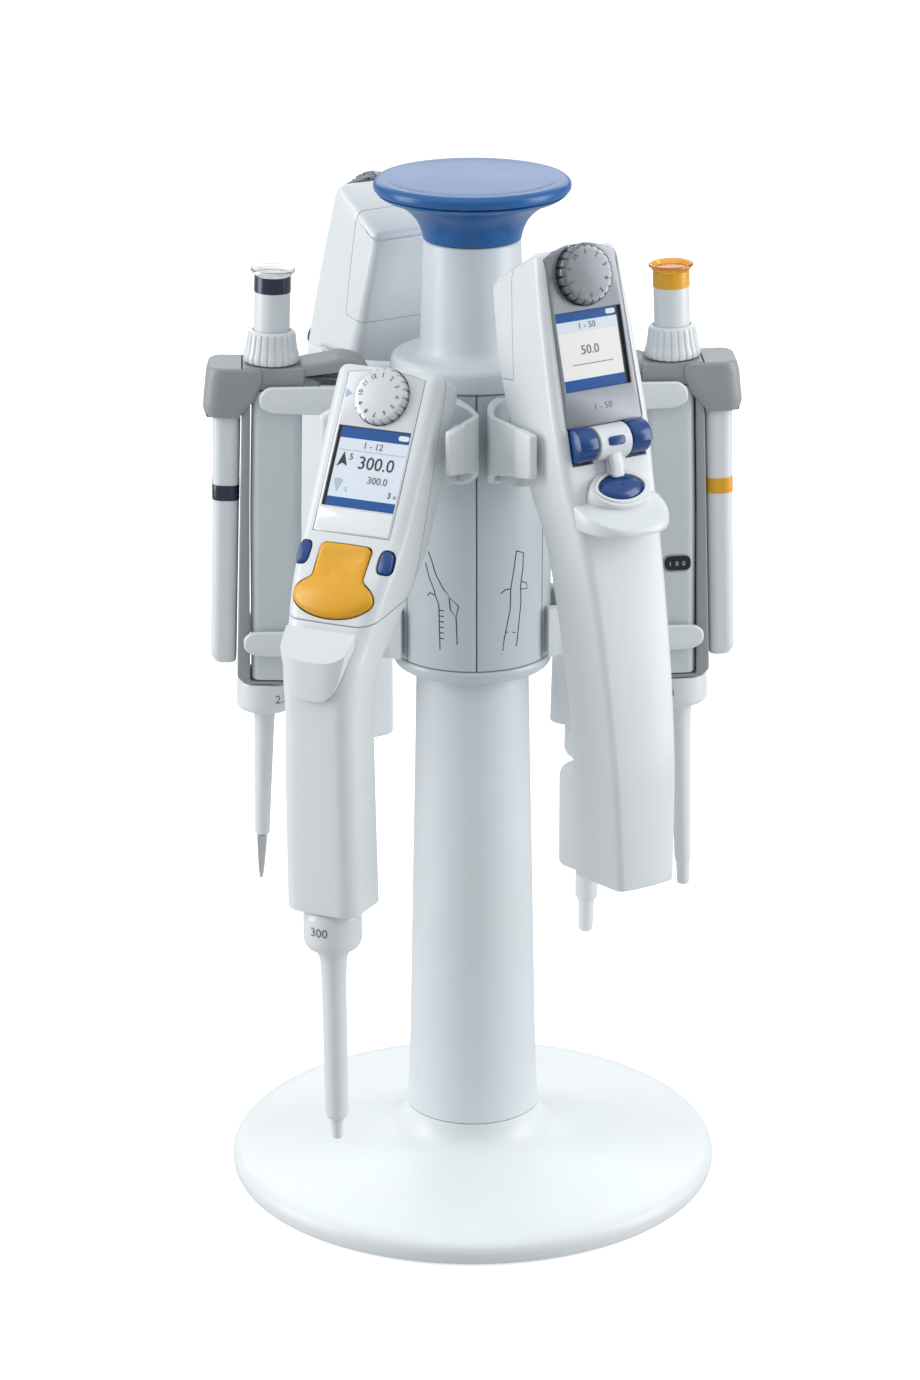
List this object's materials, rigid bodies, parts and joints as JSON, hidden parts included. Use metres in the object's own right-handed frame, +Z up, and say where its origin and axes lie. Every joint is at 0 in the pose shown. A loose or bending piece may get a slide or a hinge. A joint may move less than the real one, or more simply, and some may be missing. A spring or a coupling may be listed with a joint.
{
  "type": "pipette set",
  "caption": "Bench carousel on a round base whose turning hub holds manual and electronic pipettes and dispensers, each one lifting out of its holder.",
  "frame": {"origin": "on the bench, at the centre of the base plate's underside, on the column's axis", "axes": "+Z up along the column; +X towards the station of the right-hand manual pipette, 3 degrees short of it; -Y towards the front, between the electronic pipette and the dispenser that face the viewer"},
  "size_m": [0.2108, 0.2433, 0.4166],
  "materials": {
    "white_plastic": "satin",
    "grey_white_plastic": "satin",
    "grey_plastic": "satin",
    "panel_grey": "metallic satin",
    "silver_plastic": "pearl",
    "blue_plastic": "gloss",
    "orange_plastic": "satin",
    "clear_cap": "clear gloss",
    "steel": "polished",
    "bearing_plastic": "matte"
  },
  "bodies": {
    "stand": {"base_plate": "white_plastic", "column": "grey_white_plastic", "bearing": "bearing_plastic"},
    "carousel": {"hub_core": "white_plastic", "neck": "white_plastic", "knob_skirt": "blue_plastic", "knob_plate": "blue_plastic", "right_holder": "white_plastic", "back_right_holder": "white_plastic", "back_left_holder": "white_plastic", "left_holder": "white_plastic", "front_left_holder": "white_plastic", "front_right_holder": "white_plastic"},
    "right_pipette": {"right_pipette_handle": "white_plastic", "right_pipette_frame": "grey_plastic", "right_pipette_lower_part": "white_plastic"},
    "right_pipette_button": {"right_pipette_control_button": "orange_plastic"},
    "right_pipette_ring": {"right_pipette_adjust_ring": "white_plastic"},
    "right_pipette_ejector": {"right_pipette_ejector_cap": "grey_plastic", "right_pipette_ejector_sleeve": "white_plastic"},
    "left_pipette": {"left_pipette_handle": "white_plastic", "left_pipette_frame": "grey_plastic", "left_pipette_lower_part": "white_plastic", "left_pipette_nose_cone": "steel"},
    "left_pipette_button": {"left_pipette_control_button": "clear_cap"},
    "left_pipette_ring": {"left_pipette_adjust_ring": "white_plastic"},
    "left_pipette_ejector": {"left_pipette_ejector_cap": "grey_plastic", "left_pipette_ejector_sleeve": "white_plastic"},
    "front_pipette": {"front_pipette_front_shell": "white_plastic", "front_pipette_rear_shell": "white_plastic", "front_pipette_nose_cone": "white_plastic"},
    "front_pipette_selector": {"front_pipette_dial": "silver_plastic"},
    "front_pipette_left_button": {"front_pipette_left_key": "blue_plastic"},
    "front_pipette_right_button": {"front_pipette_right_key": "blue_plastic"},
    "front_pipette_rocker_lever": {"front_pipette_rocker": "orange_plastic"},
    "front_pipette_ejector": {"front_pipette_ejector_button": "white_plastic", "front_pipette_ejector_sleeve": "white_plastic"},
    "back_pipette": {"back_pipette_front_shell": "white_plastic", "back_pipette_rear_shell": "white_plastic", "back_pipette_nose_cone": "white_plastic"},
    "back_pipette_selector": {"back_pipette_dial": "silver_plastic"},
    "back_pipette_left_button": {"back_pipette_left_key": "blue_plastic"},
    "back_pipette_right_button": {"back_pipette_right_key": "blue_plastic"},
    "back_pipette_rocker_lever": {"back_pipette_rocker": "orange_plastic"},
    "back_pipette_ejector": {"back_pipette_ejector_button": "white_plastic", "back_pipette_ejector_sleeve": "white_plastic"},
    "front_dispenser": {"front_dispenser_housing": "white_plastic", "front_dispenser_front_panel": "panel_grey"},
    "front_dispenser_selector": {"front_dispenser_dial": "panel_grey"},
    "front_dispenser_left_button": {"front_dispenser_left_key": "blue_plastic"},
    "front_dispenser_right_button": {"front_dispenser_right_key": "blue_plastic"},
    "front_dispenser_ejector": {"front_dispenser_hood": "white_plastic"},
    "front_dispenser_release": {"front_dispenser_trigger": "blue_plastic"},
    "back_dispenser": {"back_dispenser_housing": "white_plastic", "back_dispenser_front_panel": "panel_grey"},
    "back_dispenser_selector": {"back_dispenser_dial": "panel_grey"},
    "back_dispenser_left_button": {"back_dispenser_left_key": "blue_plastic"},
    "back_dispenser_right_button": {"back_dispenser_right_key": "blue_plastic"},
    "back_dispenser_ejector": {"back_dispenser_hood": "white_plastic"},
    "back_dispenser_release": {"back_dispenser_trigger": "blue_plastic"}
  },
  "joints": [
    {"name": "carousel_spin", "type": "hinge", "parent": "stand", "child": "carousel", "pos_m": [0, 0, 0.28], "axis": [0, 0, 1], "continuous": true},
    {"name": "right_pipette_lift", "type": "slide", "parent": "carousel", "child": "right_pipette", "axis": [0, 0, 1], "range_m": [0, 0.22]},
    {"name": "right_pipette_button_press", "type": "slide", "parent": "right_pipette", "child": "right_pipette_button", "axis": [0.0349, 0.0018, -0.9994], "range_m": [0, 0.012], "stiffness_N_per_m": 250, "springref_m": -0.002},
    {"name": "right_pipette_ring_turn", "type": "hinge", "parent": "right_pipette", "child": "right_pipette_ring", "pos_m": [0.07826, 0.0041, 0.35141], "axis": [-0.0349, -0.0018, 0.9994], "continuous": true},
    {"name": "right_pipette_eject", "type": "slide", "parent": "right_pipette", "child": "right_pipette_ejector", "axis": [0.0349, 0.0018, -0.9994], "range_m": [0, 0.006], "stiffness_N_per_m": 250, "springref_m": -0.002},
    {"name": "left_pipette_lift", "type": "slide", "parent": "carousel", "child": "left_pipette", "axis": [0, 0, 1], "range_m": [0, 0.22]},
    {"name": "left_pipette_button_press", "type": "slide", "parent": "left_pipette", "child": "left_pipette_button", "axis": [-0.0349, -0.0018, -0.9994], "range_m": [0, 0.012], "stiffness_N_per_m": 250, "springref_m": -0.002},
    {"name": "left_pipette_ring_turn", "type": "hinge", "parent": "left_pipette", "child": "left_pipette_ring", "pos_m": [-0.07826, -0.0041, 0.35141], "axis": [0.0349, 0.0018, 0.9994], "continuous": true},
    {"name": "left_pipette_eject", "type": "slide", "parent": "left_pipette", "child": "left_pipette_ejector", "axis": [-0.0349, -0.0018, -0.9994], "range_m": [0, 0.006], "stiffness_N_per_m": 250, "springref_m": -0.002},
    {"name": "front_pipette_lift", "type": "slide", "parent": "carousel", "child": "front_pipette", "axis": [0, 0, 1], "range_m": [0, 0.285]},
    {"name": "front_pipette_dial_turn", "type": "hinge", "parent": "front_pipette", "child": "front_pipette_selector", "pos_m": [-0.03386, -0.06179, 0.34575], "axis": [-0.3999, -0.7731, 0.4924], "continuous": true},
    {"name": "front_pipette_left_key_press", "type": "slide", "parent": "front_pipette", "child": "front_pipette_left_button", "axis": [0.3761, 0.7243, -0.5778], "range_m": [0, 0.0007], "stiffness_N_per_m": 600, "springref_m": -0.0005},
    {"name": "front_pipette_right_key_press", "type": "slide", "parent": "front_pipette", "child": "front_pipette_right_button", "axis": [0.3761, 0.7243, -0.5778], "range_m": [0, 0.0007], "stiffness_N_per_m": 600, "springref_m": -0.0005},
    {"name": "front_pipette_rocker_tilt", "type": "hinge", "parent": "front_pipette", "child": "front_pipette_rocker_lever", "pos_m": [-0.05034, -0.09556, 0.28599], "axis": [0.891, -0.454, 0.0108], "range_deg": [-4, 4], "stiffness_Nm_per_rad": 0.5},
    {"name": "front_pipette_eject", "type": "slide", "parent": "front_pipette", "child": "front_pipette_ejector", "axis": [0.0096, -0.0049, -0.9999], "range_m": [0, 0.006], "stiffness_N_per_m": 250, "springref_m": -0.002},
    {"name": "back_pipette_lift", "type": "slide", "parent": "carousel", "child": "back_pipette", "axis": [0, 0, 1], "range_m": [0, 0.285]},
    {"name": "back_pipette_dial_turn", "type": "hinge", "parent": "back_pipette", "child": "back_pipette_selector", "pos_m": [0.03229, 0.06258, 0.34576], "axis": [0.4028, 0.7716, 0.4923], "continuous": true},
    {"name": "back_pipette_left_key_press", "type": "slide", "parent": "back_pipette", "child": "back_pipette_left_button", "axis": [-0.3795, -0.7226, -0.5778], "range_m": [0, 0.0007], "stiffness_N_per_m": 600, "springref_m": -0.0005},
    {"name": "back_pipette_right_key_press", "type": "slide", "parent": "back_pipette", "child": "back_pipette_right_button", "axis": [-0.3795, -0.7226, -0.5778], "range_m": [0, 0.0007], "stiffness_N_per_m": 600, "springref_m": -0.0005},
    {"name": "back_pipette_rocker_tilt", "type": "hinge", "parent": "back_pipette", "child": "back_pipette_rocker_lever", "pos_m": [0.04843, 0.09654, 0.28601], "axis": [-0.8909, 0.4539, 0.0175], "range_deg": [-4, 4], "stiffness_Nm_per_rad": 0.5},
    {"name": "back_pipette_eject", "type": "slide", "parent": "back_pipette", "child": "back_pipette_ejector", "axis": [-0.0155, 0.0079, -0.9998], "range_m": [0, 0.006], "stiffness_N_per_m": 250, "springref_m": -0.002},
    {"name": "front_dispenser_lift", "type": "slide", "parent": "carousel", "child": "front_dispenser", "axis": [0, 0, 1], "range_m": [0, 0.185]},
    {"name": "front_dispenser_dial_turn", "type": "hinge", "parent": "front_dispenser", "child": "front_dispenser_selector", "pos_m": [0.04098, -0.0631, 0.39348], "axis": [0.5241, -0.807, 0.2723], "continuous": true},
    {"name": "front_dispenser_left_key_press", "type": "slide", "parent": "front_dispenser", "child": "front_dispenser_left_button", "axis": [-0.5241, 0.807, -0.2723], "range_m": [0, 0.0007], "stiffness_N_per_m": 600, "springref_m": -0.0005},
    {"name": "front_dispenser_right_key_press", "type": "slide", "parent": "front_dispenser", "child": "front_dispenser_right_button", "axis": [-0.5241, 0.807, -0.2723], "range_m": [0, 0.0007], "stiffness_N_per_m": 600, "springref_m": -0.0005},
    {"name": "front_dispenser_eject", "type": "slide", "parent": "front_dispenser", "child": "front_dispenser_ejector", "axis": [0.2215, -0.3411, -0.9135], "range_m": [0, 0.0045], "stiffness_N_per_m": 250, "springref_m": -0.002},
    {"name": "front_dispenser_trigger_press", "type": "slide", "parent": "front_dispenser_ejector", "child": "front_dispenser_release", "axis": [-0.3353, 0.5163, -0.788], "range_m": [0, 0.0012], "stiffness_N_per_m": 600, "springref_m": -0.0005},
    {"name": "back_dispenser_lift", "type": "slide", "parent": "carousel", "child": "back_dispenser", "axis": [0, 0, 1], "range_m": [0, 0.185]},
    {"name": "back_dispenser_dial_turn", "type": "hinge", "parent": "back_dispenser", "child": "back_dispenser_selector", "pos_m": [-0.04098, 0.0631, 0.39348], "axis": [-0.5241, 0.807, 0.2723], "continuous": true},
    {"name": "back_dispenser_left_key_press", "type": "slide", "parent": "back_dispenser", "child": "back_dispenser_left_button", "axis": [0.5241, -0.807, -0.2723], "range_m": [0, 0.0007], "stiffness_N_per_m": 600, "springref_m": -0.0005},
    {"name": "back_dispenser_right_key_press", "type": "slide", "parent": "back_dispenser", "child": "back_dispenser_right_button", "axis": [0.5241, -0.807, -0.2723], "range_m": [0, 0.0007], "stiffness_N_per_m": 600, "springref_m": -0.0005},
    {"name": "back_dispenser_eject", "type": "slide", "parent": "back_dispenser", "child": "back_dispenser_ejector", "axis": [-0.2215, 0.3411, -0.9135], "range_m": [0, 0.0045], "stiffness_N_per_m": 250, "springref_m": -0.002},
    {"name": "back_dispenser_trigger_press", "type": "slide", "parent": "back_dispenser_ejector", "child": "back_dispenser_release", "axis": [0.3353, -0.5163, -0.788], "range_m": [0, 0.0012], "stiffness_N_per_m": 600, "springref_m": -0.0005}
  ]
}
